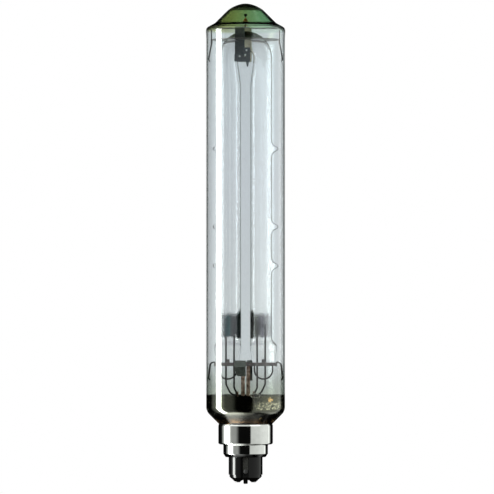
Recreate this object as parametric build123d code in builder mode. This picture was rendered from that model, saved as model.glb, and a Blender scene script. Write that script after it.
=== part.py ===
from build123d import *
import os
from math import cos, radians, sin, sqrt, tan

# Low-pressure sodium lamp standing on its bayonet cap, in millimetres.
# +Z runs up the lamp's axis from the foot of the cap. The legs of the discharge tube lie along X,
# and the two bayonet pins point along Y.

# Whole lamp
overall_length = 310.0

# Cap insulator, from its foot upwards
barrier_drop = 0.9
barrier_width = 2.8
barrier_length = 12.0
contact_offset = 5.1
contact_radius = 1.6
contact_thickness = 0.45
boss_height = 1.1
boss_slope = 45.0
boss_rim = 0.35
foot_plate_height = 1.95
foot_plate_radius = 10.0
nose_radius = 10.35
nose_length = 1.5
barrel_radius = 10.95
barrel_length = 12.8
insulator_lip = 1.1
flange_height = 4.3

# Bayonet pins
pin_radius = 1.2
pin_rise = 3.7
pin_reach = 2.45
pin_shank_radius = 0.8
pin_shank_length = 3.9
pin_collar_radius = 1.5
pin_collar_rise = 0.1
pin_edge = 0.3
recess_width = 3.8
recess_depth = 0.6

# Cap shell
shell_wall = 0.45
crimp_inset = 1.45
crimp_height = 2.2
collar_radius = 14.4
collar_height = 6.0
cement_gap = 1.95
skirt_height = 13.0
crimp_fillet = 1.0
step_fillet = 1.2
step_root_fillet = 0.8

# Discharge tube
leg_radius = 7.15
leg_gap = 5.8
tube_wall = 0.9
bend_tube_radius = 6.15
bend_drop = 17.8
bend_taper = 20.0
dimple_height = 4.1
dimple_spread = 4.8
dimple_first = 47.0
dimple_pitch = 25.2
dimple_steps = (0, 1, 3)
press_width = 14.7
press_flare = 2.3
press_thickness = 3.2
press_height = 9.5
press_taper = 5.0
press_shift = 1.55
press_bead = 0.3
sodium_lift = 2.3
sodium_height = 12.9
film_thickness = 0.15

# Cathodes and lead wires
lead_radius = 0.45
lead_spread = 2.6
cathode_lift = 9.0
coil_radius = 1.2
coil_wire_radius = 0.32
coil_turns = 4
lead_in_radius = 0.5
lead_in_stub = 4.5
lead_end_rise = 1.5
inner_lead_turn = 7.0
inner_lead_bend = 1.5
outer_lead_turn = 9.0
outer_lead_sweep = 4.6
outer_lead_bend = 4.0
weld_gap = 0.05

# Outer bulb
bulb_wall = 1.1
dimple_clearance = 3.0
crown_radius = 17.2
dome_slope = 45.0
dome_radius = 19.7
dome_wall = 2.0
shoulder_slope = 29.0
shoulder_bulge = 0.35
shoulder_run = 7.0
base_slope = 45.0
neck_radius = 15.2
neck_length = 6.4
kink_fillet = 0.8
shoulder_fillet = 2.6
bulge_fillet = 20.0
base_fillet = 6.4
neck_fillet = 1.5
rim_gap = 0.05
mirror_rise = 19.1

# Glass stem
stem_radius = 6.6
stem_wall = 1.2
flare_fillet = 6.0
stem_rise = 16.6
stem_press_width = 14.0
stem_press_thickness = 3.6
stem_press_height = 4.5
stem_taper = 4.5
exhaust_radius = 2.4
exhaust_wall = 0.8
exhaust_length = 18.0

# Lower mount
sheet = 0.5
plate_rise = 20.9
plate_height = 2.2
plate_width = 12.0
plate_overhang = 2.5
plate_corner = 1.2
lead_hole_clearance = 0.4
tab_width = 2.4
tab_height = 2.0
post_width = 2.4
post_thickness = 0.9
post_offset = 1.7
post_seat = 3.5
bracket_web_width = 6.4
bracket_lip = 1.4
front_flap_width = 7.4
front_flap_shift = -3.6
front_flap_cut_width = 2.1
front_flap_cut_height = 4.2
front_flap_drop = 6.4
back_flap_width = 3.5
back_flap_shift = 2.65
back_flap_drop = 9.4
flap_knee = 0.6
loop_wire_radius = 0.4
loop_radius = 5.9
loop_depth = 3.0
loop_drop = 8.5
spring_thickness = 0.35
spring_width = 5.0
spring_gap = 0.1
lower_spring_drop = 9.0
spring_foot_height = 1.4
spring_foot_inset = 0.9
getter_radius = 2.9
getter_wire_radius = 0.45
getter_reach = 6.2
getter_forward = 4.2
getter_rise = 1.6
getter_tilt = 25.0
stalk_radius = 0.35

# Upper mount
disc_drop = 5.8
disc_gap = 2.3
disc_thickness = 0.4
disc_clearance = 0.4
ear_drop = 2.6
strap_thickness = 0.4
strap_width = 5.0
strap_shift = -1.5
strap_turn = 21.0
strap_clearance = 2.0
strap_rise = 3.0
strap_foot_drop = 2.2
strap_corner = 1.5
clip_width = 10.7
clip_height = 4.8
clip_ear_width = 4.6
clip_ear_rise = 4.3
clip_thickness = 0.4
clip_shift = 2.7
clip_drop = 3.0
clip_corner = 0.6
clip_hole_radius = 0.45
tongue_width = 2.0
tongue_drop = 3.6
tongue_shift = 5.2
upper_spring_rise = 6.6
upper_spring_drop = 14.0
upper_spring_bow = 6.0
locating_pin_shift = -0.1
locating_pin_height = 6.8
locating_pin_bead = 0.8
locating_pin_stem = 0.3
locating_pin_base = 1.2

# Heights of the cap, from the foot of the wall between the contacts
contact_foot = barrier_drop
boss_foot = contact_foot + contact_thickness
foot_plate_foot = boss_foot + boss_height
insulator_foot = foot_plate_foot + foot_plate_height
nose_top = insulator_foot + nose_length
pin_height = insulator_foot + pin_rise
crimp_foot = insulator_foot + barrel_length
collar_foot = crimp_foot + crimp_height
skirt_foot = collar_foot + collar_height
skirt_top = skirt_foot + skirt_height
skirt_bore = neck_radius + cement_gap
skirt_radius = skirt_bore + shell_wall
collar_bore = collar_radius - shell_wall

# Heights and reaches of the mount and the discharge tube
stem_top = skirt_top + stem_rise
plate_foot = stem_top + plate_rise
plate_top = plate_foot + plate_height
press_top = plate_top + press_height
leg_foot = press_top + press_taper
leg_offset = leg_gap / 2 + leg_radius
leg_reach = leg_offset + leg_radius
leg_bore = leg_radius - tube_wall
press_offset = leg_offset + press_shift
bend_top = overall_length - bend_drop
bend_height = bend_top - leg_reach
bend_radius = leg_reach - bend_tube_radius
leg_top = bend_height - bend_taper
cathode_height = leg_foot + cathode_lift

# Outline of the bulb: wide enough for the dimples of the tube that it holds
bulb_radius = leg_reach + dimple_height + dimple_clearance + bulb_wall
bulb_bore = bulb_radius - bulb_wall
crown_centre = overall_length - crown_radius
crown_edge = crown_radius * sin(radians(dome_slope))
dome_foot = (crown_centre + crown_radius * cos(radians(dome_slope))
             - (dome_radius - crown_edge) * tan(radians(dome_slope)))
bulge_radius = bulb_radius + shoulder_bulge
shoulder_height = dome_foot - (bulge_radius - dome_radius) * tan(radians(shoulder_slope))
# The dome's inner surface meets the shoulder's where both walls have their own thickness.
kink = sin(radians(dome_slope - shoulder_slope))
dome_root = dome_radius + (
    bulb_wall * cos(radians(dome_slope)) - dome_wall * cos(radians(shoulder_slope))
) / kink
dome_root_height = dome_foot + (
    dome_wall * sin(radians(shoulder_slope)) - bulb_wall * sin(radians(dome_slope))
) / kink
inside_edge = (
    (crown_radius - dome_wall) * sin(radians(dome_slope)),
    crown_centre + (crown_radius - dome_wall) * cos(radians(dome_slope)),
)
base_rise = tan(radians(base_slope))
base_height = skirt_top + rim_gap + (bulb_radius - skirt_bore) * base_rise
neck_height = skirt_top + rim_gap - cement_gap * base_rise
neck_foot = neck_height - neck_length
wall_reach = sqrt(bulb_bore**2 - (spring_width / 2) ** 2) - spring_gap

sides = {"left": -1, "right": 1}
faces = {"front": -1, "back": 1}

os.makedirs("parts", exist_ok=True)


def bulb_outline():
    """Half outline of the bulb's outside, from the crown down to the end of the neck."""
    crown = CenterArc((0, crown_centre), crown_radius, 90, -dome_slope)
    FilletPolyline(
        crown @ 1,
        (dome_radius, dome_foot),
        (bulge_radius, shoulder_height),
        (bulb_radius, shoulder_height - shoulder_run),
        (bulb_radius, base_height),
        (neck_radius, neck_height),
        (neck_radius, neck_foot),
        radius=[kink_fillet, shoulder_fillet, bulge_fillet, base_fillet, neck_fillet],
    )


def round_wire(*points, radius, bend):
    """Round wire of one radius along straight runs joined by arcs of one bend radius."""
    with BuildPart() as wire:
        with BuildLine() as path:
            if len(points) > 2:
                FilletPolyline(*points, radius=bend)
            else:
                Line(*points)
        with BuildSketch(Plane(origin=path.wire() @ 0, z_dir=path.wire() % 0)):
            Circle(radius)
        sweep()
    return wire.part


def lofted(stations):
    """Smooth solid through ellipses, each given as its height, its place along X and its two radii."""
    with BuildPart() as form:
        for height, place, along, across in stations:
            with BuildSketch(Plane.XY.offset(height)):
                with Locations((place, 0)):
                    if along == across:
                        Circle(along)
                    else:
                        Ellipse(along, across)
        loft()
    return form.part


def dimple(side, height, inset):
    """Bell-shaped pocket on the outer side of a leg, drawn in by inset from its outer surface."""
    # Each station is a share of the pocket's height and of its spread along the leg and across it.
    bell = ((-0.4, 1.25, 0.98), (0.0, 0.9, 0.64), (0.35, 0.46, 0.42), (0.75, 0.31, 0.3), (1.0, 0.12, 0.12))
    with BuildPart() as pocket:
        for rise, along, across in bell:
            place = side * (leg_reach - inset + rise * dimple_height)
            # The inner surface follows the outer one, so its tip stays a wall away all round.
            slim = inset * (1 - 0.6 * max(rise, 0))
            with BuildSketch(Plane((place, 0, height), x_dir=(0, 1, 0), z_dir=(side, 0, 0))):
                Ellipse(max(across * dimple_spread - slim, 0.1), max(along * dimple_spread - slim, 0.1))
        loft()
    return pocket.part


def tube_form(inset, press_stations):
    """Solid form of the U tube, drawn in by inset, with the given drawn-down foot on each leg."""
    with BuildPart() as form:
        for side in sides.values():
            with BuildSketch(Plane.XY.offset(leg_foot)):
                with Locations((side * leg_offset, 0)):
                    Circle(leg_radius - inset)
            extrude(amount=leg_top - leg_foot)
            drawn_in = []
            for share in (0.0, 0.3, 0.7, 1.0):
                ease = share * share * (3 - 2 * share)
                place = leg_offset + ease * (bend_radius - leg_offset)
                radius = leg_radius + ease * (bend_tube_radius - leg_radius) - inset
                drawn_in.append((leg_top + share * bend_taper, side * place, radius, radius))
            add(lofted(drawn_in))
            add(lofted([(height, side * place, *radii) for height, place, *radii in press_stations]))
            for step in dimple_steps:
                height = leg_foot + dimple_first + step * dimple_pitch
                if height + dimple_spread < leg_top:
                    add(dimple(side, height, inset))
        with BuildSketch(Plane.XY.offset(bend_height)):
            with Locations((bend_radius, 0)):
                Circle(bend_tube_radius - inset)
        revolve(axis=Axis((0, 0, bend_height), (0, -1, 0)), revolution_arc=180)
    return form.part


# Outer bulb: one blown glass wall, open at the neck
with BuildPart() as outer_bulb:
    with BuildSketch(Plane.XZ):
        with BuildLine():
            bulb_outline()
            offset(amount=bulb_wall, side=Side.RIGHT, closed=True, mode=Mode.ADD)
        make_face()
        # The dome's glass is thicker than the wall, and thins out where it meets the shoulder.
        with BuildLine():
            outside = CenterArc((0, crown_centre), crown_radius, 90, -dome_slope)
            Polyline(outside @ 1, (dome_radius, dome_foot), (dome_root, dome_root_height), inside_edge)
            inside = CenterArc((0, crown_centre), crown_radius - dome_wall, 90, -dome_slope)
            Line(inside @ 0, outside @ 0)
        make_face()
    revolve(axis=Axis.Z)
outer_bulb.part.label = "outer_bulb"
export_step(outer_bulb.part, "parts/outer_bulb.step")

# Getter mirror: metal film on the inside of the bulb's lower end
with BuildPart() as getter_mirror:
    with BuildSketch(Plane.XZ):
        with BuildLine():
            FilletPolyline(
                (bulb_radius, base_height + mirror_rise),
                (bulb_radius, base_height),
                (neck_radius, neck_height),
                (neck_radius, neck_foot),
                radius=[base_fillet, neck_fillet],
            )
            offset(amount=bulb_wall, side=Side.RIGHT, closed=False, mode=Mode.REPLACE)
            offset(amount=film_thickness, side=Side.RIGHT, closed=True, mode=Mode.ADD)
        make_face()
        with Locations((0, skirt_top)):
            Rectangle(bulb_bore, mirror_rise, align=(Align.MIN, Align.MIN), mode=Mode.INTERSECT)
    revolve(axis=Axis.Z)
getter_mirror.part.label = "getter_mirror"
export_step(getter_mirror.part, "parts/getter_mirror.step")

# Discharge tube: one glass tube bent to a U, dimpled to hold the sodium, both ends pressed flat
press_top_width = press_width + press_flare
outer_press = [
    (press_top, press_offset, press_top_width / 2 + press_bead, press_thickness / 2 + press_bead),
    (press_top + 0.45 * press_taper, leg_offset + 0.5 * press_shift, press_top_width / 2, 0.66 * leg_radius),
    (leg_foot, leg_offset, leg_radius, leg_radius),
]
inner_press = [
    (press_top + tube_wall, leg_offset + 0.5 * press_shift, lead_spread + 2 * lead_radius, lead_radius),
    (press_top + 0.55 * press_taper, leg_offset, 0.9 * leg_bore, 0.56 * leg_bore),
    (leg_foot, leg_offset, leg_bore, leg_bore),
]
with BuildPart() as discharge_tube:
    add(tube_form(0, outer_press))
    for side in sides.values():
        for height, width in ((plate_top, press_width), (press_top, press_top_width)):
            with BuildSketch(Plane.XY.offset(height)):
                with Locations((side * press_offset, 0)):
                    SlotOverall(width, press_thickness)
        loft(ruled=True)
    add(tube_form(tube_wall, inner_press), mode=Mode.SUBTRACT)
    for side in sides.values():
        with BuildSketch(Plane.XY.offset(plate_top)):
            with Locations((side * (leg_offset - lead_spread), 0), (side * (leg_offset + lead_spread), 0)):
                Circle(lead_radius)
        extrude(amount=press_height + 2 * tube_wall, mode=Mode.SUBTRACT)
discharge_tube.part.label = "discharge_tube"
export_step(discharge_tube.part, "parts/discharge_tube.step")

# Sodium film on the wall of each leg, just above its pressed end
for name, side in sides.items():
    with BuildPart() as sodium_film:
        with BuildSketch(Plane.XY.offset(leg_foot + sodium_lift)):
            with Locations((side * leg_offset, 0)):
                Circle(leg_bore)
                Circle(leg_bore - film_thickness, mode=Mode.SUBTRACT)
        extrude(amount=sodium_height)
    sodium_film.part.label = f"{name}_sodium_film"
    export_step(sodium_film.part, f"parts/{name}_sodium_film.step")

# Cathodes: tungsten coils slung between the tops of the lead wires
coil_length = 2 * (lead_spread - lead_radius - weld_gap) - 2 * coil_wire_radius
for name, side in sides.items():
    with BuildPart() as cathode:
        with BuildLine():
            turns = Helix(
                coil_length / coil_turns,
                coil_length,
                coil_radius,
                center=(side * leg_offset - coil_length / 2, 0, cathode_height),
                direction=(1, 0, 0),
            )
        with BuildSketch(Plane(origin=turns @ 0, z_dir=turns % 0)):
            Circle(coil_wire_radius)
        sweep(is_frenet=True)
    cathode.part.label = f"{name}_cathode"
    export_step(cathode.part, f"parts/{name}_cathode.step")

# Lead wires: from the cathodes through the pressed ends and the plate to the lead-in wires
lead_top = cathode_height + coil_radius
lap = lead_in_radius + lead_radius + weld_gap
for name, side in sides.items():
    inner = side * (leg_offset - lead_spread)
    outer = side * (leg_offset + lead_spread)
    inner_lead = round_wire(
        (inner, 0, lead_top),
        (inner, 0, stem_top + inner_lead_turn),
        (side * (contact_offset + lap), 0, stem_top + lead_in_stub - lead_in_radius),
        (side * (contact_offset + lap), 0, stem_top + lead_end_rise),
        radius=lead_radius,
        bend=inner_lead_bend,
    )
    inner_lead.label = f"{name}_inner_lead"
    export_step(inner_lead, f"parts/{name}_inner_lead.step")
    outer_lead = round_wire(
        (outer, 0, lead_top),
        (outer, 0, stem_top + outer_lead_turn),
        (side * (contact_offset + outer_lead_sweep), lap, stem_top + 2 * lead_end_rise),
        (side * contact_offset, lap, stem_top + lead_end_rise),
        radius=lead_radius,
        bend=outer_lead_bend,
    )
    outer_lead.label = f"{name}_outer_lead"
    export_step(outer_lead, f"parts/{name}_outer_lead.step")

# Lead-in wires: from the contacts up through the stem's pressed top
for name, side in sides.items():
    lead_in = round_wire(
        (side * contact_offset, 0, boss_foot),
        (side * contact_offset, 0, stem_top + lead_in_stub),
        radius=lead_in_radius,
        bend=0,
    )
    lead_in.label = f"{name}_lead_in"
    export_step(lead_in, f"parts/{name}_lead_in.step")

# Posts: flat copper-clad rods from the stem's pressed top to the underside of the plate
for name, side in sides.items():
    with BuildPart() as post:
        with BuildSketch(Plane.XY.offset(stem_top - post_seat)):
            with Locations((side * post_offset, 0)):
                Rectangle(post_width, post_thickness)
        extrude(amount=post_seat + plate_rise + plate_height - sheet)
    post.part.label = f"{name}_post"
    export_step(post.part, f"parts/{name}_post.step")

# Stem: flared glass tube fused to the neck, pressed shut round the wires, with its exhaust tube
stem_press_foot = stem_top - stem_press_height
stem_tube_top = stem_press_foot - stem_taper
with BuildPart() as stem:
    with BuildSketch(Plane.XZ):
        with BuildLine():
            FilletPolyline(
                (neck_radius, neck_foot - stem_wall / 2),
                (stem_radius, neck_foot - stem_wall / 2),
                (stem_radius, stem_tube_top),
                radius=flare_fillet,
            )
        trace(line_width=stem_wall)
    revolve(axis=Axis.Z)
    stem_outside = stem_radius + stem_wall / 2
    add(
        lofted(
            [
                (stem_tube_top, 0, stem_outside, stem_outside),
                (stem_tube_top + 0.5 * stem_taper, 0, stem_outside, 0.66 * stem_outside),
                (stem_press_foot, 0, stem_press_width / 2 + press_bead, stem_press_thickness / 2 + press_bead),
            ]
        )
    )
    with BuildSketch(Plane.XY.offset(stem_press_foot)):
        SlotOverall(stem_press_width, stem_press_thickness)
    extrude(amount=stem_press_height)
    exhaust_foot = stem_tube_top - exhaust_length
    with BuildSketch(Plane.XY.offset(exhaust_foot)):
        Circle(exhaust_radius)
    exhaust = extrude(amount=exhaust_length)
    fillet(exhaust.faces().sort_by(Axis.Z)[0].edges(), radius=exhaust_radius * 0.9)
    with BuildSketch(Plane.XY.offset(exhaust_foot + 2 * exhaust_wall)):
        Circle(exhaust_radius - exhaust_wall)
    extrude(amount=exhaust_length, mode=Mode.SUBTRACT)
    with BuildSketch(Plane.XY.offset(stem_tube_top)):
        with Locations((-contact_offset, 0), (contact_offset, 0)):
            Circle(lead_in_radius)
    extrude(amount=stem_taper + stem_press_height, mode=Mode.SUBTRACT)
    with BuildSketch(Plane.XY.offset(stem_top - post_seat)):
        with Locations((-post_offset, 0), (post_offset, 0)):
            Rectangle(post_width, post_thickness)
    extrude(amount=post_seat, mode=Mode.SUBTRACT)
stem.part.label = "stem"
export_step(stem.part, "parts/stem.step")

# Mount plate: shallow tray folded from sheet, open below, with tabs that hold the pressed ends
plate_reach = leg_reach + plate_overhang
with BuildPart() as mount_plate:
    with BuildSketch(Plane.XY.offset(plate_foot)):
        RectangleRounded(2 * plate_reach, plate_width, plate_corner)
    extrude(amount=plate_height)
    offset(amount=-sheet, openings=mount_plate.faces().sort_by(Axis.Z)[0])
    with BuildSketch(Plane.XY.offset(plate_top)):
        tab_depth = (press_thickness + sheet) / 2
        for side in sides.values():
            with Locations((side * press_offset, -tab_depth), (side * press_offset, tab_depth)):
                Rectangle(tab_width, sheet)
    extrude(amount=tab_height)
    with BuildSketch(Plane.XY.offset(plate_top - sheet)):
        for side in sides.values():
            with Locations((side * (leg_offset - lead_spread), 0), (side * (leg_offset + lead_spread), 0)):
                Circle(lead_radius + lead_hole_clearance)
    extrude(amount=sheet, mode=Mode.SUBTRACT)
mount_plate.part.label = "mount_plate"
export_step(mount_plate.part, "parts/mount_plate.step")

# Mount bracket: sheet saddle across the plate, its two flaps bent back to the posts
flap_depth = (plate_width + sheet) / 2
flap_seat = (post_thickness + sheet) / 2 + weld_gap
with BuildPart() as mount_bracket:
    with BuildSketch(Plane.XY.offset(plate_top)):
        Rectangle(bracket_web_width, 2 * flap_depth)
    extrude(amount=sheet)
    for turn, width, shift, drop in (
        (-1, front_flap_width, front_flap_shift, front_flap_drop),
        (1, back_flap_width, back_flap_shift, back_flap_drop),
    ):
        with BuildSketch(Plane.YZ.offset(shift)):
            with BuildLine():
                Polyline(
                    (turn * flap_depth, plate_top + bracket_lip),
                    (turn * flap_depth, plate_foot - flap_knee),
                    (turn * flap_seat, plate_foot - drop),
                )
            trace(line_width=sheet)
        extrude(amount=width / 2, both=True)
    # The front flap's lower outer corner is cut off.
    flap_edge = front_flap_shift - front_flap_width / 2
    flap_foot = plate_foot - front_flap_drop - sheet
    with BuildSketch(Plane.XZ):
        Polygon(
            (flap_edge, flap_foot),
            (flap_edge + front_flap_cut_width, flap_foot),
            (flap_edge, flap_foot + front_flap_cut_height),
            align=None,
        )
    extrude(amount=plate_width, mode=Mode.SUBTRACT)
mount_bracket.part.label = "mount_bracket"
export_step(mount_bracket.part, "parts/mount_bracket.step")

# Wire loops hung from the plate, one round the foot of each pressed end
for name, side in sides.items():
    loop_near = side * (press_offset - loop_radius)
    loop_far = side * (press_offset + loop_radius)
    loop_turn = plate_foot - loop_drop + loop_radius
    with BuildPart() as press_loop:
        with BuildLine(Plane.XZ.offset(-loop_depth)) as path:
            Line((loop_near, plate_top - sheet), (loop_near, loop_turn))
            ThreePointArc(
                (loop_near, loop_turn),
                (side * press_offset, loop_turn - loop_radius),
                (loop_far, loop_turn),
            )
            Line((loop_far, loop_turn), (loop_far, plate_top - sheet))
        with BuildSketch(Plane(origin=path.wire() @ 0, z_dir=path.wire() % 0)):
            Circle(loop_wire_radius)
        sweep()
    press_loop.part.label = f"{name}_press_loop"
    export_step(press_loop.part, f"parts/{name}_press_loop.step")

# Lower springs: strips from the plate's ends, bowed out and down to the bulb's wall
for name, side in sides.items():
    root = side * (plate_reach + spring_thickness / 2)
    foot = side * (wall_reach - spring_thickness / 2)
    foot_height = plate_foot - lower_spring_drop
    with BuildPart() as lower_spring:
        with BuildSketch(Plane.XZ):
            with BuildLine():
                FilletPolyline(
                    (root, plate_foot),
                    (root, plate_top + sheet),
                    (0.3 * root + 0.7 * foot, plate_top - sheet),
                    (foot, foot_height + spring_foot_height),
                    (foot - side * spring_foot_inset, foot_height),
                    radius=[0.6, 2.0, 1.0],
                )
            trace(line_width=spring_thickness)
        extrude(amount=spring_width / 2, both=True)
    lower_spring.part.label = f"{name}_lower_spring"
    export_step(lower_spring.part, f"parts/{name}_lower_spring.step")

# Getter ring on its stalk, welded to the right post
with BuildPart() as getter_ring:
    getter_height = stem_top + getter_rise
    with Locations(Location((getter_reach, -getter_forward, getter_height), (getter_tilt, 0, 0))):
        Torus(getter_radius, getter_wire_radius)
    add(
        round_wire(
            (getter_reach - getter_radius, -getter_forward, getter_height),
            (post_offset + post_width / 4, -post_thickness / 2 - stalk_radius / 2, getter_height + 0.9),
            radius=stalk_radius,
            bend=0,
        )
    )
getter_ring.part.label = "getter_ring"
export_step(getter_ring.part, "parts/getter_ring.step")

# Upper disc: thin sheet with a slot for the bend, notched for the strap, an ear bent down at each end
disc_height = bend_top - disc_drop
disc_radius = bulb_bore - disc_gap
ear_reach = sqrt(disc_radius**2 - (spring_width / 2) ** 2)
bend_span = sqrt(leg_reach**2 - (disc_height - bend_height) ** 2) + disc_clearance
strap_bore = bend_tube_radius + strap_clearance
strap_plane = Plane(
    origin=(strap_shift, 0, 0),
    x_dir=(sin(radians(strap_turn)), cos(radians(strap_turn)), 0),
    z_dir=(cos(radians(strap_turn)), -sin(radians(strap_turn)), 0),
)
strap_footprint = Plane(origin=(strap_shift, 0, disc_height), x_dir=strap_plane.x_dir, z_dir=(0, 0, 1))
with BuildPart() as upper_disc:
    with BuildSketch(Plane.XY.offset(disc_height)):
        Circle(disc_radius)
        Rectangle(2 * ear_reach, 2 * disc_radius, mode=Mode.INTERSECT)
        SlotOverall(2 * bend_span, 2 * (bend_tube_radius + disc_clearance), mode=Mode.SUBTRACT)
    extrude(amount=disc_thickness)
    with BuildSketch(strap_footprint):
        Rectangle(2 * (strap_bore + strap_thickness), strap_width)
    extrude(amount=disc_thickness, mode=Mode.SUBTRACT)
    with BuildSketch(Plane.XY.offset(disc_height - ear_drop)):
        for side in sides.values():
            with Locations((side * (ear_reach - disc_thickness / 2), 0)):
                Rectangle(disc_thickness, spring_width)
    extrude(amount=ear_drop)
upper_disc.part.label = "upper_disc"
export_step(upper_disc.part, "parts/upper_disc.step")

# Bend strap: sheet strip folded into a loop round the top of the bend
strap_top = bend_top + strap_rise
strap_foot = bend_height - strap_foot_drop
with BuildPart() as bend_strap:
    with BuildSketch(strap_plane):
        with Locations((0, (strap_top + strap_foot) / 2)):
            RectangleRounded(
                2 * (strap_bore + strap_thickness),
                strap_top - strap_foot + 2 * strap_thickness,
                strap_corner + strap_thickness,
            )
            RectangleRounded(2 * strap_bore, strap_top - strap_foot, strap_corner, mode=Mode.SUBTRACT)
    extrude(amount=strap_width / 2, both=True)
bend_strap.part.label = "bend_strap"
export_step(bend_strap.part, "parts/bend_strap.step")

# Bend clip: plate spot-welded over the strap's ends, with an ear beside the strap and a tongue bent down
clip_plane = Plane(
    origin=(
        strap_shift - (strap_bore + strap_thickness) * sin(radians(strap_turn)),
        -(strap_bore + strap_thickness) * cos(radians(strap_turn)),
        bend_height - clip_drop + clip_height / 2,
    ),
    x_dir=strap_plane.z_dir,
    z_dir=-strap_plane.x_dir,
)
clip_right = clip_shift + clip_width / 2
clip_left = clip_shift - clip_width / 2
with BuildPart() as bend_clip:
    with BuildSketch(clip_plane) as clip_face:
        Polygon(
            (clip_left, -clip_height / 2),
            (tongue_shift, -clip_height / 2),
            (tongue_shift + 0.4 * tongue_width, -clip_height / 2 - tongue_drop),
            (tongue_shift + 0.8 * tongue_width, -clip_height / 2 - 0.8 * tongue_drop),
            (tongue_shift + tongue_width, -clip_height / 2),
            (clip_right, -clip_height / 2),
            (clip_right, clip_height / 2 + clip_ear_rise),
            (clip_right - clip_ear_width, clip_height / 2 + clip_ear_rise),
            (clip_right - clip_ear_width, clip_height / 2),
            (clip_left, clip_height / 2),
            align=None,
        )
        fillet(clip_face.vertices(), radius=clip_corner / 2)
        with Locations((clip_shift - clip_width / 5, clip_height / 4), (clip_shift + clip_width / 6, clip_height / 4)):
            Circle(clip_hole_radius, mode=Mode.SUBTRACT)
    extrude(amount=clip_thickness)
bend_clip.part.label = "bend_clip"
export_step(bend_clip.part, "parts/bend_clip.step")

# Upper springs: strips on the disc's ears, bowed out to the bulb's wall below it
for name, side in sides.items():
    root = side * (ear_reach + spring_thickness / 2)
    foot = side * (wall_reach - spring_thickness / 2)
    foot_height = disc_height - upper_spring_drop
    with BuildPart() as upper_spring:
        with BuildSketch(Plane.XZ):
            with BuildLine():
                FilletPolyline(
                    (root, disc_height + upper_spring_rise),
                    (root, disc_height - ear_drop),
                    (foot, foot_height + spring_foot_height),
                    (foot - side * spring_foot_inset, foot_height),
                    radius=[upper_spring_bow, 1.0],
                )
            trace(line_width=spring_thickness)
        extrude(amount=spring_width / 2, both=True)
    upper_spring.part.label = f"{name}_upper_spring"
    export_step(upper_spring.part, f"parts/{name}_upper_spring.step")

# Locating pin: wire with a bead, on a cone welded to the top of the strap
pin_seat_height = strap_top + strap_thickness
bead_height = pin_seat_height + locating_pin_height
with BuildPart() as locating_pin:
    with BuildSketch(Plane((locating_pin_shift, 0, 0), x_dir=(1, 0, 0), z_dir=(0, -1, 0))):
        with BuildLine():
            bead_foot = sqrt(locating_pin_bead**2 - locating_pin_stem**2)
            rod = Polyline(
                (0, pin_seat_height),
                (locating_pin_base, pin_seat_height),
                (locating_pin_stem, pin_seat_height + 2 * locating_pin_base),
                (locating_pin_stem, bead_height - bead_foot),
            )
            ThreePointArc(rod @ 1, (locating_pin_bead, bead_height), (0, bead_height + locating_pin_bead))
            Line((0, bead_height + locating_pin_bead), rod @ 0)
        make_face()
    revolve(axis=Axis((locating_pin_shift, 0, 0), (0, 0, 1)))
locating_pin.part.label = "locating_pin"
export_step(locating_pin.part, "parts/locating_pin.step")

# Cap shell: drawn bright metal, a wide skirt stepped in to a collar that is crimped at its lower edge
with BuildPart() as cap_shell:
    with BuildSketch(Plane.XZ):
        with BuildLine():
            FilletPolyline(
                (skirt_radius, skirt_top),
                (skirt_radius, skirt_foot),
                (collar_radius, skirt_foot),
                (collar_radius, collar_foot),
                (collar_radius - crimp_inset, crimp_foot),
                radius=[step_fillet, step_root_fillet, crimp_fillet],
            )
            offset(amount=shell_wall, side=Side.RIGHT, closed=True, mode=Mode.ADD)
        make_face()
    revolve(axis=Axis.Z)
cap_shell.part.label = "cap_shell"
export_step(cap_shell.part, "parts/cap_shell.step")

# Capping cement: fills the ring between the bulb's neck and the skirt
with BuildPart() as capping_cement:
    with BuildSketch(Plane.XZ):
        with Locations((0, neck_foot + stem_wall)):
            Rectangle(skirt_bore, skirt_top - neck_foot - stem_wall, align=(Align.MIN, Align.MIN))
        with BuildLine():
            bulb_outline()
            Polyline((neck_radius, neck_foot), (0, neck_foot), (0, overall_length))
        make_face(mode=Mode.SUBTRACT)
    revolve(axis=Axis.Z)
capping_cement.part.label = "capping_cement"
export_step(capping_cement.part, "parts/capping_cement.step")

# Cap insulator: black moulding held by the crimp, with contact bosses and a wall between them
lip_radius = collar_radius - crimp_inset - shell_wall - insulator_lip / 4
flange_radius = collar_bore - rim_gap
flange_foot = collar_foot + crimp_fillet / 2
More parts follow.
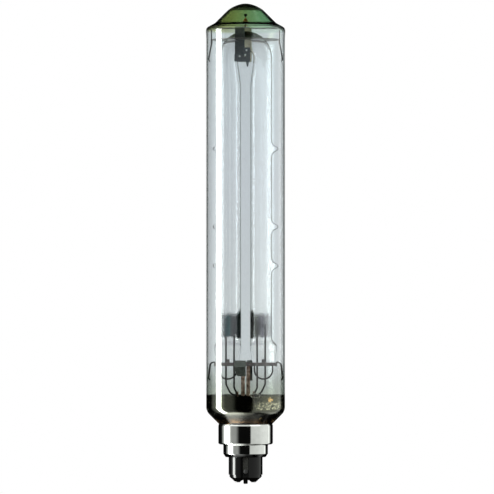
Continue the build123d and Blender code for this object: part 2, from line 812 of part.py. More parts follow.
# Each bayonet pin seats on the floor of a recess, facing out along Y.
recess_floor = barrel_radius - recess_depth
pin_seats = {
    name: Plane((0, turn * recess_floor, pin_height), x_dir=(-turn, 0, 0), z_dir=(0, turn, 0))
    for name, turn in faces.items()
}
with BuildPart() as cap_insulator:
    with BuildSketch(Plane.XZ):
        with BuildLine():
            Polyline(
                (0, foot_plate_foot),
                (foot_plate_radius - foot_plate_height, foot_plate_foot),
                (foot_plate_radius, insulator_foot - boss_rim),
                (foot_plate_radius, insulator_foot),
                (nose_radius, insulator_foot),
                (nose_radius, nose_top),
                (barrel_radius, nose_top),
                (barrel_radius, crimp_foot + shell_wall),
                (lip_radius, crimp_foot + shell_wall),
                (lip_radius, flange_foot),
                (flange_radius, flange_foot),
                (flange_radius, flange_foot + flange_height),
                (0, flange_foot + flange_height),
                close=True,
            )
        make_face()
    revolve(axis=Axis.Z)
    boss_tip = contact_radius + boss_rim
    boss_root = boss_tip + boss_height / tan(radians(boss_slope))
    for side in sides.values():
        with Locations((side * contact_offset, 0, boss_foot)):
            Cone(boss_tip, boss_root, boss_height, align=(Align.CENTER, Align.CENTER, Align.MIN))
    with Locations((0, 0, 0)):
        Box(barrier_width, barrier_length, foot_plate_foot, align=(Align.CENTER, Align.CENTER, Align.MIN))
    fillet(cap_insulator.faces().sort_by(Axis.Z)[0].edges(), radius=barrier_width / 4)
    with BuildSketch(Plane.XY):
        with Locations((-contact_offset, 0), (contact_offset, 0)):
            Circle(lead_in_radius + rim_gap)
    extrude(amount=overall_length, mode=Mode.SUBTRACT)
    for seat in pin_seats.values():
        with BuildSketch(seat):
            Circle(recess_width / 2)
            Rectangle(recess_width, crimp_foot - pin_height, align=(Align.CENTER, Align.MIN))
        extrude(amount=2 * recess_depth, mode=Mode.SUBTRACT)
        with BuildSketch(seat):
            Circle(pin_shank_radius)
        extrude(amount=-pin_shank_length, mode=Mode.SUBTRACT)
cap_insulator.part.label = "cap_insulator"
export_step(cap_insulator.part, "parts/cap_insulator.step")

# Bayonet pins: round heads on collars in the recesses, with shanks moulded into the insulator
for name, seat in pin_seats.items():
    with BuildPart() as bayonet_pin:
        with BuildSketch(seat):
            Circle(pin_radius)
        head = extrude(amount=recess_depth + pin_reach)
        tip = head.faces().filter_by(Axis.Y).sort_by(lambda face: abs(face.center().Y))[-1]
        chamfer(tip.edges(), length=pin_edge)
        with BuildSketch(seat):
            Circle(pin_collar_radius)
        extrude(amount=recess_depth + pin_collar_rise)
        with BuildSketch(seat):
            Circle(pin_shank_radius)
        extrude(amount=-pin_shank_length)
    bayonet_pin.part.label = f"{name}_bayonet_pin"
    export_step(bayonet_pin.part, f"parts/{name}_bayonet_pin.step")

# Contacts: soldered buttons on the bosses
for name, side in sides.items():
    with BuildPart() as contact:
        with BuildSketch(Plane.XY.offset(contact_foot)):
            with Locations((side * contact_offset, 0)):
                Circle(contact_radius)
        extrude(amount=contact_thickness)
        fillet(contact.edges().sort_by(Axis.Z)[0], radius=contact_thickness / 2)
    contact.part.label = f"{name}_contact"
    export_step(contact.part, f"parts/{name}_contact.step")
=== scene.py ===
import bmesh
import bpy
import math
from mathutils import Matrix, Vector


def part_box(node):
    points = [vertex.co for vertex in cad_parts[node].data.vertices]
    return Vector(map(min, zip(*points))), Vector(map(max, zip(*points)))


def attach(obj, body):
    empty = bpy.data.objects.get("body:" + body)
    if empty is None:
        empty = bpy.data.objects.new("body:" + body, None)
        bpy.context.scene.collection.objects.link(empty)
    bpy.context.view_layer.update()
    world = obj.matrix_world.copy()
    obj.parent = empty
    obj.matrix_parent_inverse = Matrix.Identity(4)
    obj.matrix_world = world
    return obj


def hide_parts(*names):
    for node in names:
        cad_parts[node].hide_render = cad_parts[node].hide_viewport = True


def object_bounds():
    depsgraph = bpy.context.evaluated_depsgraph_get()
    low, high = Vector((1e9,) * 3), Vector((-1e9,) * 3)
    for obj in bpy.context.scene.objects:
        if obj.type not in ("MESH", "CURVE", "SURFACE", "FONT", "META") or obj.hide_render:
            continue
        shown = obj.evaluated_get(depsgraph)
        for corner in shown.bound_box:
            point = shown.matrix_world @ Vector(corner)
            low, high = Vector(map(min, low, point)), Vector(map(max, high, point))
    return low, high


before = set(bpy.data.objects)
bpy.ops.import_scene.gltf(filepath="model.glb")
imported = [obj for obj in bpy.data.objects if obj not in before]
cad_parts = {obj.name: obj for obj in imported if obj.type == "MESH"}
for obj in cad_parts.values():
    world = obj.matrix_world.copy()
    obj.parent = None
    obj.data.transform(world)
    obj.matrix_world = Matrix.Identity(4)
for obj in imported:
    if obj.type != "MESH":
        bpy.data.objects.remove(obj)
cad_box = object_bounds()
mm = 0.001

# Stem: the glass foot on which the whole mount is built.
# A flared tube of clear glass, fused to the bulb's neck and pressed shut round its wires while hot.
stem_low, stem_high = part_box("stem")


def fresh_material(name):
    """Node material with a Principled shader: the material, its nodes, its links and the shader."""
    material = bpy.data.materials.new(name)
    material.use_nodes = True
    nodes = material.node_tree.nodes
    return material, nodes, material.node_tree.links, nodes["Principled BSDF"]


def clear_glass(name, index, roughness=0.0):
    """Glass that bends light by its index. Gives what fresh_material gives."""
    material, nodes, links, shader = fresh_material(name)
    shader.inputs["Roughness"].default_value = roughness
    shader.inputs["IOR"].default_value = index
    shader.inputs["Transmission Weight"].default_value = 1.0
    return material, nodes, links, shader


def own_place(nodes, links):
    """Where a point lies on the lamp: the whole vector, and its parts by axis."""
    place = nodes.new("ShaderNodeTexCoord").outputs["Object"]
    split = nodes.new("ShaderNodeSeparateXYZ")
    links.new(place, split.inputs["Vector"])
    return place, split.outputs


def ranged(nodes, links, source, low, high, first=0.0, last=1.0):
    """Socket that runs from its first number to its last while the source goes from low to high."""
    share = nodes.new("ShaderNodeMapRange")
    for end, number in (("From Min", low), ("From Max", high), ("To Min", first), ("To Max", last)):
        share.inputs[end].default_value = number
    links.new(source, share.inputs["Value"])
    return share.outputs["Result"]


def height_share(nodes, links, low, high):
    """Socket that runs from 0 at one height of the lamp to 1 at another."""
    axis = own_place(nodes, links)[1]
    return ranged(nodes, links, axis["Z"], low, high)


def shade_ramp(nodes, links, source, stops):
    """Colour socket that follows (place, colour) stops as the source goes from 0 to 1."""
    ramp = nodes.new("ShaderNodeValToRGB")
    stripes = ramp.color_ramp.elements
    for stripe, (place, colour) in zip(stripes, (stops[0], stops[-1])):
        stripe.position = place
        stripe.color = (*colour, 1.0)
    for place, colour in stops[1:-1]:
        stripes.new(place).color = (*colour, 1.0)
    links.new(source, ramp.inputs["Fac"])
    return ramp.outputs["Color"]


def dress(material, *names):
    """Give CAD nodes their finish."""
    for name in names:
        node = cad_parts[name]
        node.data.materials.clear()
        node.data.materials.append(material)


stem_glass, nodes, links, shader = clear_glass("pressed stem glass", 1.5, 0.02)
stem_rise = height_share(nodes, links, stem_low.z, stem_high.z)
stem_tint = shade_ramp(nodes, links, stem_rise, [(0.0, (0.80, 0.86, 0.84)), (1.0, (0.93, 0.96, 0.95))])
links.new(stem_tint, shader.inputs["Base Color"])
dress(stem_glass, "stem")

# Lead-in wires and posts: copper-clad wire and flat strip, sealed into the stem's pressed top.
# The flame that closed the glass has left them pink, with brown heat stains.
dent_depth = 0.1 * mm


def noise_over(nodes, links, place, scale, detail=2.0):
    """Socket with cloudy noise over a place."""
    noise = nodes.new("ShaderNodeTexNoise")
    noise.inputs["Scale"].default_value = scale
    noise.inputs["Detail"].default_value = detail
    links.new(place, noise.inputs["Vector"])
    return noise.outputs["Fac"]


def metal(name, dark, light, roughness, patch, bump=0.05, bare=1.0):
    """Metal whose tone, gloss and surface drift between two shades over patches of one size."""
    material, nodes, links, shader = fresh_material(name)
    shader.inputs["Metallic"].default_value = bare
    drift = noise_over(nodes, links, own_place(nodes, links)[0], 1 / patch, 5.0)
    tone = shade_ramp(nodes, links, drift, [(0.3, dark), (0.7, light)])
    gloss = ranged(nodes, links, drift, 0.0, 1.0, 0.7 * roughness, 1.3 * roughness)
    dent = nodes.new("ShaderNodeBump")
    dent.inputs["Strength"].default_value = bump
    dent.inputs["Distance"].default_value = dent_depth
    links.new(drift, dent.inputs["Height"])
    links.new(tone, shader.inputs["Base Color"])
    links.new(gloss, shader.inputs["Roughness"])
    links.new(dent.outputs["Normal"], shader.inputs["Normal"])
    return material


copper = metal("heat stained copper", (0.20, 0.10, 0.06), (0.98, 0.70, 0.58), 0.4, 1.8 * mm, bare=0.6)
dress(copper, "left_lead_in", "right_lead_in", "left_post", "right_post")

# Getter ring: a pressed steel ring on a wire stalk, welded to the right post.
# It held the metal that was flashed onto the bulb's lower end, and is left pale grey.
getter_steel = metal("flashed getter steel", (0.45, 0.42, 0.36), (0.85, 0.82, 0.74), 0.4, 0.8 * mm, bare=0.5)
dress(getter_steel, "getter_ring")

# Mount plate and bracket: nickel-plated sheet, folded and spot-welded to the posts.
# Heat has dulled the plate to a soft dark grey and the bracket to a matt one.
dull_nickel = metal("dulled nickel sheet", (0.12, 0.10, 0.10), (0.34, 0.29, 0.29), 0.42, 2.0 * mm, bare=0.5)
dress(dull_nickel, "mount_plate")
flap_grey = metal(
    "matt grey sheet", (0.22, 0.23, 0.21), (0.34, 0.35, 0.32), 0.6, 1.0 * mm, bump=0.15, bare=0.0
)
dress(flap_grey, "mount_bracket")

# Springs: thin strips that centre the mount in the bulb, fixed to the plate below and the disc above.
# Blued spring steel, bent to its hooks and arms, and drawn a little stouter than the solids.
spring_steel = metal("blued spring steel", (0.06, 0.06, 0.065), (0.17, 0.165, 0.16), 0.35, 1.5 * mm)
lower_spring_grow = 0.42 * mm
upper_spring_grow = 0.2 * mm
merge_distance = 0.001 * mm
sharp_angle = math.radians(40)


def grown_copy(name, grow):
    """Merged copy of a CAD piece, a little stouter all round."""
    shape = bmesh.new()
    shape.from_mesh(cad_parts[name].data)
    bmesh.ops.remove_doubles(shape, verts=shape.verts, dist=merge_distance)
    bmesh.ops.recalc_face_normals(shape, faces=shape.faces)
    shape.normal_update()
    places = [corner.co + grow * corner.normal for corner in shape.verts]
    for corner, place in zip(shape.verts, places):
        corner.co = place
    return shape


def piece_from(shape, name, material, slot, *stands_for, smooth=True):
    """Turn a shape into a piece that rides on the lamp and stands for CAD nodes."""
    for edge in shape.edges:
        edge.smooth = edge.calc_face_angle(0.0) < sharp_angle
    mesh = bpy.data.meshes.new(name)
    shape.to_mesh(mesh)
    shape.free()
    if smooth:
        for face in mesh.polygons:
            face.use_smooth = True
    mesh.materials.append(material)
    piece = bpy.data.objects.new(name, mesh)
    bpy.context.collection.objects.link(piece)
    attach(piece, "root")
    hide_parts(*stands_for)
    return piece


for level, grow in (("lower", lower_spring_grow), ("upper", upper_spring_grow)):
    for side in ("left", "right"):
        node = f"{side}_{level}_spring"
        piece_from(grown_copy(node, grow), f"{node}_strip", spring_steel, "spring_steel", node, smooth=False)

# Discharge tube: one length of clear glass tube, drawn in and bent to a U over a flame.
# Small dimples, blown out of the legs while soft, hold the sodium. Both ends are pressed flat on the leads.
# The bend's crown is painted dark grey, and the glass is painted dark where the dimples and pressed ends are
# seen along their edges: painted shade for the dark look of bent glass there.
tube_low, tube_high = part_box("discharge_tube")
film_low, film_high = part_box("left_sodium_film")
leg_offset = -(film_low.x + film_high.x) / 2
leg_bore = (film_high.x - film_low.x) / 2
leg_radius = tube_high.y
tube_wall = 0.6 * mm
leg_reach = leg_offset + leg_radius
bend_tube_radius = 6.15 * mm
bend_radius = leg_reach - bend_tube_radius
bend_height = tube_high.z - leg_reach
bend_taper = 20 * mm
leg_top = bend_height - bend_taper
press_height = 10.4 * mm
press_top = tube_low.z + press_height
leg_foot = press_top + 5.0 * mm
press_offset = leg_offset + 1.55 * mm
press_foot_half = 7.35 * mm
press_top_half = 8.8 * mm
press_neck = press_top - 3.0 * mm
press_neck_half = press_top_half - 0.3 * mm
press_half_thickness = 1.6 * mm
press_squeeze = 1.35
wedge_foot = tube_low.z + 2.0 * mm
wedge_half = 0.8 * press_foot_half
wedge_tip = 0.05
dimple_height = 4.1 * mm
dimple_waist = 1.86 * mm
dimple_first = leg_foot + 47.0 * mm
dimple_pitch = 25.2 * mm
dimple_heights = [dimple_first + step * dimple_pitch for step in (0, 1, 3)]
dimple_reach = 6.5 * mm
dimple_squash = 0.9
dimple_bell = 3.5
dimple_edge = 4
ring_segments = 96
foot_rings = 12
close_rings = 4
close_step = 1.0 * mm
leg_rings = 20
leg_start = leg_foot + 5 * mm
leg_step = 8 * mm
taper_rings = 20
bend_rings = 40
dimple_rings = 16
dimple_step = 0.4 * mm
crown_shade_heights = (286.6 * mm, 288.0 * mm)
dimple_shade = (leg_reach + 0.2 * mm, leg_reach + 0.7 * mm)
press_shade = (leg_foot - 3 * mm, leg_foot - 5 * mm)


def eased(share):
    """Share that starts and stops gently."""
    share = min(max(share, 0.0), 1.0)
    return share * share * (3 - 2 * share)


def leg_stations(inset):
    """Rings up the left leg to the bend: place along X, height, and the half widths along X and Y."""
    stations = []
    if inset == 0:
        stations.append((press_offset, tube_low.z, press_foot_half, leg_radius))
        stations.append((press_offset, press_neck, press_neck_half, leg_radius))
    else:
        stations.append((press_offset, wedge_foot, wedge_half, leg_radius - inset))
    for step in range(foot_rings + 1):
        share = step / foot_rings
        place = press_offset + eased(share) * (leg_offset - press_offset)
        half = press_top_half + eased(share) * (leg_radius - press_top_half) - inset
        stations.append((place, press_top + share * (leg_foot - press_top), half, leg_radius - inset))
    straight = [leg_foot + close_step + close_step * step for step in range(close_rings)]
    straight += [leg_start + leg_step * step for step in range(leg_rings)]
    for height in dimple_heights:
        straight = [place for place in straight if abs(place - height) > dimple_reach]
        straight += [height + dimple_step * step for step in range(-dimple_rings, dimple_rings + 1)]
    for height in sorted(place for place in straight if place < leg_top):
        stations.append((leg_offset, height, leg_radius - inset, leg_radius - inset))
    for step in range(taper_rings + 1):
        share = step / taper_rings
        radius = leg_radius + eased(share) * (bend_tube_radius - leg_radius) - inset
        place = leg_offset + eased(share) * (bend_radius - leg_offset)
        stations.append((place, leg_top + share * bend_taper, radius, radius))
    return stations


def drawn_tube(shape, inset):
    """One glass surface of the U tube, drawn ring by ring from the left foot to the right one."""
    rings = [(-place, height, 0.0, along, across) for place, height, along, across in leg_stations(inset)]
    over = [(-x, z, math.pi, along, across) for x, z, turn, along, across in reversed(rings)]
    radius = bend_tube_radius - inset
    for step in range(1, bend_rings):
        turn = math.pi * step / bend_rings
        x = -bend_radius * math.cos(turn)
        rings.append((x, bend_height + bend_radius * math.sin(turn), turn, radius, radius))
    before = None
    faces = []
    for x, z, turn, along, across in rings + over:
        widths = Matrix.Diagonal((along, across, 1, 1))
        place = Matrix.Translation((x, 0, z)) @ Matrix.Rotation(turn, 4, "Y") @ widths
        if before is None:
            ring = bmesh.ops.create_circle(
                shape, cap_ends=True, segments=ring_segments, radius=1.0, matrix=place
            )["verts"]
            faces += list(ring[0].link_faces)
            rim = list(faces[0].edges)
        else:
            grown = bmesh.ops.extrude_edge_only(shape, edges=rim)["geom"]
            ring = {part for part in grown if isinstance(part, bmesh.types.BMVert)}
            bmesh.ops.transform(shape, matrix=place @ before.inverted(), verts=list(ring))
            faces += [part for part in grown if isinstance(part, bmesh.types.BMFace)]
            sides = [part for part in grown if isinstance(part, bmesh.types.BMEdge)]
            rim = [side for side in sides if ring.issuperset(side.verts)]
        before = place
    faces += bmesh.ops.holes_fill(shape, edges=rim, sides=0)["faces"]
    return faces


def press_flat(faces, inset):
    """Flatten the ends of the legs between two jaws, and ease the tube back to round above them."""
    for corner in {corner for face in faces for corner in face.verts}:
        if corner.co.z < leg_foot:
            share = eased((corner.co.z - press_top) / (leg_foot - press_top))
            opened = share * (leg_radius - press_half_thickness)
            limit = press_half_thickness + opened - press_squeeze * inset
            if inset and corner.co.z < press_top:
                rise = (corner.co.z - wedge_foot) / (press_top - wedge_foot)
                limit *= wedge_tip + (1 - wedge_tip) * rise
            corner.co.y = min(max(corner.co.y, -limit), limit)


def blow_dimples(shape):
    """Push the outer sides of the legs out into the small bell-shaped dimples."""
    for corner in shape.verts:
        side = math.copysign(1, corner.co.x)
        if side * corner.co.x < leg_offset:
            continue
        for height in dimple_heights:
            reach = math.hypot(corner.co.y / dimple_squash, corner.co.z - height)
            if reach < dimple_reach:
                fade = 1 - (reach / dimple_reach) ** dimple_edge
                corner.co.x += side * fade * dimple_height / (1 + (reach / dimple_waist) ** dimple_bell)


def combined(nodes, links, operation, *parts):
    """Socket that joins sockets and numbers by one operation."""
    join = nodes.new("ShaderNodeMath")
    join.operation = operation
    for part, end in zip(parts, join.inputs):
        if isinstance(part, (int, float)):
            end.default_value = part
        else:
            links.new(part, end)
    return join.outputs["Value"]


def spread(nodes, links, source, low, high):
    """Socket that eases from 0 to 1 while its source goes from low to high."""
    share = ranged(nodes, links, source, low, high)
    share.node.interpolation_type = "SMOOTHSTEP"
    return share


def mixed(nodes, links, share, first, second):
    """Colour socket that goes from the first colour to the second as the share goes from 0 to 1."""
    blend = nodes.new("ShaderNodeMix")
    blend.data_type = "RGBA"
    links.new(share, blend.inputs["Factor"])
    for colour, end in ((first, blend.inputs[6]), (second, blend.inputs[7])):
        if isinstance(colour, tuple):
            end.default_value = (*colour, 1.0)
        else:
            links.new(colour, end)
    return blend.outputs[2]


def blended(nodes, links, source, low, high, first, second):
    """Colour socket that eases from one colour to another while its source goes from low to high."""
    return mixed(nodes, links, spread(nodes, links, source, low, high), first, second)


def edge_on(nodes):
    """Socket that is 0 where glass is seen face on and 1 where it is seen along its edge."""
    weight = nodes.new("ShaderNodeLayerWeight")
    weight.inputs["Blend"].default_value = 0.5
    return weight.outputs["Facing"]


tube_shape = bmesh.new()
outer_faces = drawn_tube(tube_shape, 0)
inner_faces = drawn_tube(tube_shape, tube_wall)
press_flat(outer_faces, 0)
press_flat(inner_faces, tube_wall)
blow_dimples(tube_shape)
bmesh.ops.recalc_face_normals(tube_shape, faces=outer_faces)
bmesh.ops.recalc_face_normals(tube_shape, faces=inner_faces)
bmesh.ops.reverse_faces(tube_shape, faces=inner_faces)
tube_glass, nodes, links, shader = clear_glass("drawn tube glass", 1.44)
tube_rise = height_share(nodes, links, tube_low.z, tube_high.z)
# The tube greys a little at the top of its bend, the start of the painted shade at its crown.
tube_stops = [(0.0, (0.99, 0.985, 0.98)), (0.9, (0.995, 0.995, 1.0)), (1.0, (0.86, 0.85, 0.85))]
tube_tint = shade_ramp(nodes, links, tube_rise, tube_stops)
axis = own_place(nodes, links)[1]
# Painted shade: the bend's crown goes over to dark grey.
tube_tint = blended(nodes, links, axis["Z"], *crown_shade_heights, tube_tint, (0.34, 0.35, 0.34))
aside = combined(nodes, links, "ABSOLUTE", axis["X"])
dimpled = spread(nodes, links, aside, *dimple_shade)
pressed = spread(nodes, links, axis["Z"], *press_shade)
worked = combined(nodes, links, "MAXIMUM", dimpled, pressed)
# Painted shade: dimples and pressed ends go dark grey where they are seen along their edges.
edge_shade = combined(nodes, links, "MULTIPLY", spread(nodes, links, edge_on(nodes), 0.25, 0.7), worked)
links.new(mixed(nodes, links, edge_shade, tube_tint, (0.35, 0.35, 0.35)), shader.inputs["Base Color"])
piece_from(tube_shape, "u_tube", tube_glass, "tube_glass", "discharge_tube")

# Sodium films: metal that has settled on the cool wall of each leg, just above its pressed end.
# A thin dark mirror with soft upper and lower edges, thickest on the sides that face each other.
film_thickness = 0.1 * mm
film_foot = film_low.z - 1.3 * mm
film_crest = film_high.z + 5.0 * mm
film_inner = leg_radius - tube_wall + 0.02 * mm
film_outer = film_inner + film_thickness
film_segments = 96
streak_scale = (1400, 1400, 120)
streak_length = 8.0 * mm
top_fade = (-2.4 * mm, film_high.z + 6.8 * mm, film_high.z + 3.2 * mm)
foot_fade = (1.0 * mm, film_low.z + 2.8 * mm, film_low.z + 4.8 * mm)
left_shades = [
    (0.0, (0.12, 0.16, 0.16)),
    (0.10, (0.12, 0.16, 0.16)),
    (0.20, (0.42, 0.41, 0.45)),
    (0.36, (0.44, 0.43, 0.48)),
    (0.55, (0.20, 0.40, 0.45)),
    (0.68, (0.22, 0.38, 0.43)),
    (0.85, (0.44, 0.43, 0.49)),
    (1.0, (0.50, 0.48, 0.48)),
]
right_shades = [
    (0.0, (0.08, 0.08, 0.075)),
    (0.12, (0.08, 0.08, 0.075)),
    (0.20, (0.17, 0.19, 0.15)),
    (0.36, (0.37, 0.37, 0.43)),
    (0.50, (0.52, 0.49, 0.62)),
    (0.90, (0.62, 0.57, 0.68)),
]
left_cover = [(0.0, 0.75), (0.16, 0.7), (0.24, 0.5), (0.38, 0.5), (0.55, 0.6), (0.75, 0.5), (1.0, 0.35)]
right_cover = [(0.0, 0.75), (0.2, 0.65), (0.4, 0.52), (0.57, 0.42), (0.72, 0.28), (0.88, 0.2), (1.0, 0.15)]


def sodium_material(name, side, shades, thickness):
    """Dark mirror that fades out at its top and foot, and thins towards the bulb's wall."""
    material, nodes, links, shader = fresh_material(name)
    shader.inputs["Metallic"].default_value = 0.25
    shader.inputs["Roughness"].default_value = 0.4
    place, axis = own_place(nodes, links)
    near, far = side * (leg_offset - leg_bore), side * (leg_offset + leg_bore)
    across = ranged(nodes, links, axis["X"], near, far)
    links.new(shade_ramp(nodes, links, across, shades), shader.inputs["Base Color"])
    streaks = nodes.new("ShaderNodeMapping")
    streaks.inputs["Scale"].default_value = streak_scale
    links.new(place, streaks.inputs["Vector"])
    streaky = noise_over(nodes, links, streaks.outputs["Vector"], 1.0)
    ragged = combined(nodes, links, "MULTIPLY_ADD", streaky, streak_length, axis["Z"])
    cover = shade_ramp(nodes, links, across, [(share, (amount,) * 3) for share, amount in thickness])
    for rise, bare, full in (top_fade, foot_fade):
        reach = ranged(nodes, links, across, 0.02, 0.16, rise, 0.0)
        shifted = combined(nodes, links, "ADD", ragged, reach)
        cover = combined(nodes, links, "MULTIPLY", cover, spread(nodes, links, shifted, bare, full))
    links.new(cover, shader.inputs["Alpha"])
    return material


def outline_of(shape, corners, closed):
    """Chain of edges in the XZ plane through (radius, height) corners."""
    points = [shape.verts.new((radius, 0, height)) for radius, height in corners]
    pairs = list(zip(points, points[1:]))
    if closed:
        pairs.append((points[-1], points[0]))
    for pair in pairs:
        shape.edges.new(pair)
    return points


def spun(shape, steps):
    """Turn an outline in the XZ plane about the lamp's axis, and close its seam and poles."""
    outline = list(shape.verts) + list(shape.edges)
    bmesh.ops.spin(
        shape, geom=outline, cent=(0, 0, 0), axis=(0, 0, 1), angle=2 * math.pi, steps=steps, use_merge=True
    )
    bmesh.ops.remove_doubles(shape, verts=shape.verts, dist=merge_distance)
    bmesh.ops.recalc_face_normals(shape, faces=shape.faces)


for name, side, shades, thickness in (
    ("left", -1, left_shades, left_cover),
    ("right", 1, right_shades, right_cover),
):
    film_shape = bmesh.new()
    film_corners = [
        (film_inner, film_foot),
        (film_inner, film_crest),
        (film_outer, film_crest),
        (film_outer, film_foot),
    ]
    outline_of(film_shape, film_corners, closed=True)
    spun(film_shape, film_segments)
    bmesh.ops.translate(film_shape, vec=(side * leg_offset, 0, 0), verts=film_shape.verts)
    film = sodium_material(f"{name} sodium film", side, shades, thickness)
    piece_from(film_shape, f"{name}_sodium_mirror", film, "sodium_film", f"{name}_sodium_film")

# Cathodes and lead wires: coiled tungsten on nickel wires that run down through the pressed ends.
# The wire loops below hold the pressed ends on the plate. All are dark from the furnace.
lead_grow = 0.16 * mm
loop_grow = 0.12 * mm
tungsten = metal("coated tungsten", (0.10, 0.10, 0.10), (0.30, 0.30, 0.31), 0.5, 0.4 * mm)
dress(tungsten, "left_cathode", "right_cathode")
dark_wire = metal("furnace dark nickel wire", (0.03, 0.03, 0.03), (0.10, 0.085, 0.085), 0.42, 1.5 * mm)
for side in ("left", "right"):
    for kind, grow in (("inner_lead", lead_grow), ("outer_lead", lead_grow), ("press_loop", loop_grow)):
        node = f"{side}_{kind}"
        piece_from(grown_copy(node, grow), f"{node}_wire", dark_wire, "lead_wire", node)

# Upper mount: a thin nickel disc with a slot for the bend, and a dark sheet strap looped round the bend.
# The clip is spot-welded over the strap's ends; its three weld beads are painted near-white so that they
# read as glints (painted highlight).
# The strap's back run is painted pale tan, a painted reflection. The beaded pin on top meets the dome, and
# its foot is painted a bright orange-red, its coppery tone with its glints painted in.
brown_nickel = metal("browned nickel disc", (0.14, 0.12, 0.115), (0.34, 0.30, 0.29), 0.4, 3.0 * mm)
dress(brown_nickel, "upper_disc")
clip_left = -7.2 * mm
clip_front = -7.4 * mm
clip_slant = 0.381
glint_bead_places = ((-3.8 * mm, 275.5 * mm), (-0.2 * mm, 276.3 * mm), (0.6 * mm, 279.3 * mm))
glint_bead_radius = 0.6 * mm
clip_steel = metal(
    "dark clip steel", (0.11, 0.115, 0.125), (0.19, 0.195, 0.205), 0.4, 0.8 * mm, bump=0.15, bare=0.2
)
# Painted highlight: near-white beads that show as glints on the clip.
glint_white = metal("painted glint white", (0.90, 0.90, 0.90), (0.98, 0.98, 0.98), 0.3, 0.5 * mm, bare=0.4)
clip_shape = grown_copy("bend_clip", 0.0)
for x, z in glint_bead_places:
    seat = Matrix.Translation((x, clip_front - clip_slant * (x - clip_left), z))
    bead = bmesh.ops.create_icosphere(clip_shape, subdivisions=3, radius=glint_bead_radius, matrix=seat)["verts"]
    for face in {face for corner in bead for face in corner.link_faces}:
        face.material_index = 1
        face.smooth = True
clip = piece_from(clip_shape, "welded_clip", clip_steel, "strap_steel", "bend_clip", smooth=False)
clip.data.materials.append(glint_white)
pin_low, pin_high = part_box("locating_pin")
pin_bead = 1.0 * mm
pin_stalk = (pin_low.z, pin_high.z - 0.9 * mm, 0.3 * mm, 0.3 * mm)
pin_foot = (pin_low.z + 2.0 * mm, pin_low.z + 4.8 * mm, 2.2 * mm, 0.35 * mm)
pin_steel = metal("scorched pin steel", (0.02, 0.02, 0.02), (0.05, 0.045, 0.04), 0.4, 0.8 * mm, bare=0.3)
# Painted highlight: the pin's foot is a bright orange-red that stands in for its glints.
glint_orange = metal("pin foot painted glint orange", (0.60, 0.16, 0.06), (0.98, 0.32, 0.14), 0.7, 0.8 * mm, bare=0.0)
pin_shape = bmesh.new()
for number, (low, high, first, second) in enumerate((pin_stalk, pin_foot)):
    seat = Matrix.Translation((0, 0, (low + high) / 2))
    bar = bmesh.ops.create_cone(
        pin_shape, cap_ends=True, segments=32, radius1=first, radius2=second, depth=high - low, matrix=seat
    )["verts"]
    for face in {face for corner in bar for face in corner.link_faces}:
        face.material_index = number
bead_seat = Matrix.Translation((0, 0, pin_high.z - pin_bead))
bmesh.ops.create_icosphere(pin_shape, subdivisions=3, radius=pin_bead, matrix=bead_seat)
beaded_pin = piece_from(pin_shape, "beaded_pin", pin_steel, "strap_steel", "locating_pin")
beaded_pin.data.materials.append(glint_orange)
strap_edge = -4.5 * mm
strap_widening = 1.5 * mm
strap_turn = 3 * mm
back_reflection_span = (2 * mm, 6 * mm)


def stained(material, axis_name, low, high, colour):
    """Let a material's colour go over to another colour along one axis of the lamp, for painted light or
    shade.
    """
    nodes, links = material.node_tree.nodes, material.node_tree.links
    base = nodes["Principled BSDF"].inputs["Base Color"]
    tone = base.links[0].from_socket
    axis = own_place(nodes, links)[1]
    links.new(blended(nodes, links, axis[axis_name], low, high, tone, colour), base)


strap_steel = metal(
    "dark strap steel", (0.08, 0.083, 0.088), (0.15, 0.155, 0.16), 0.42, 1.0 * mm, bump=0.12, bare=0.2
)
# Painted reflection: the strap's back run goes over to pale tan.
stained(strap_steel, "Y", *back_reflection_span, (0.95, 0.86, 0.66))
strap_shape = grown_copy("bend_strap", 0.0)
for corner in strap_shape.verts:
    if corner.co.y < 0 and corner.co.x > strap_edge:
        corner.co.x += strap_widening * min(1.0, -corner.co.y / strap_turn)
piece_from(strap_shape, "bend_strap_strip", strap_steel, "strap_steel", "bend_strap", smooth=False)

# Outer bulb: a wide tube of clear glass, blown with a drawn-in dome above and a cone down to its neck.
# A heat-reflecting film inside gives it a grey-blue cast that drifts in colour, and turns the dome green.
# Painted shade: glass seen along its edge is painted dark, and the kink under the dome and the crown's top
# are painted black. Near its edges the wall is painted lighter above and darker low down, as painted light
# and shade.
bulb_low, bulb_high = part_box("outer_bulb")
neck_radius = 15.2 * mm
bulb_radius = 25.4 * mm
bulge_radius = 25.75 * mm
bulb_wall = 0.7 * mm
dome_wall = 0.9 * mm
crown_radius = 17.2 * mm
dome_radius = 19.7 * mm
dome_slope = math.radians(45)
shoulder_slope = math.radians(29)
shoulder_run = 7.0 * mm
base_slope = math.radians(45)
neck_length = 6.4 * mm
crown_corner = crown_radius * math.tan(dome_slope / 2)
dome_foot = bulb_high.z - (dome_radius - crown_corner) * math.tan(dome_slope)
shoulder_height = dome_foot - (bulge_radius - dome_radius) * math.tan(shoulder_slope)
neck_height = bulb_low.z + neck_length
base_height = neck_height + (bulb_radius - neck_radius) * math.tan(base_slope)
bulb_segments = 192
edge_tint_heights = (66 * mm, 80 * mm)
shoulder_sides = (-18 * mm, 4 * mm)
dome_sides = (-15 * mm, 15 * mm)
shoulder_heights = (291.2 * mm, 293.4 * mm)
kink_foot_heights = (295.2 * mm, 295.5 * mm)
kink_top_heights = (296.4 * mm, 296.7 * mm)
crown_heights = (306.5 * mm, 307.3 * mm)
black = (0.0, 0.0, 0.0)


def wall_corner(before, corner, after, wall_before, wall_after):
    """Corner of the inner surface, where the two runs that meet are drawn in by their own walls."""
    runs = (Vector(corner) - Vector(before)).normalized(), (Vector(after) - Vector(corner)).normalized()
    inward = Matrix([(-run.y, run.x) for run in runs])
    return Vector(corner) + inward.inverted() @ Vector((-wall_before, -wall_after))


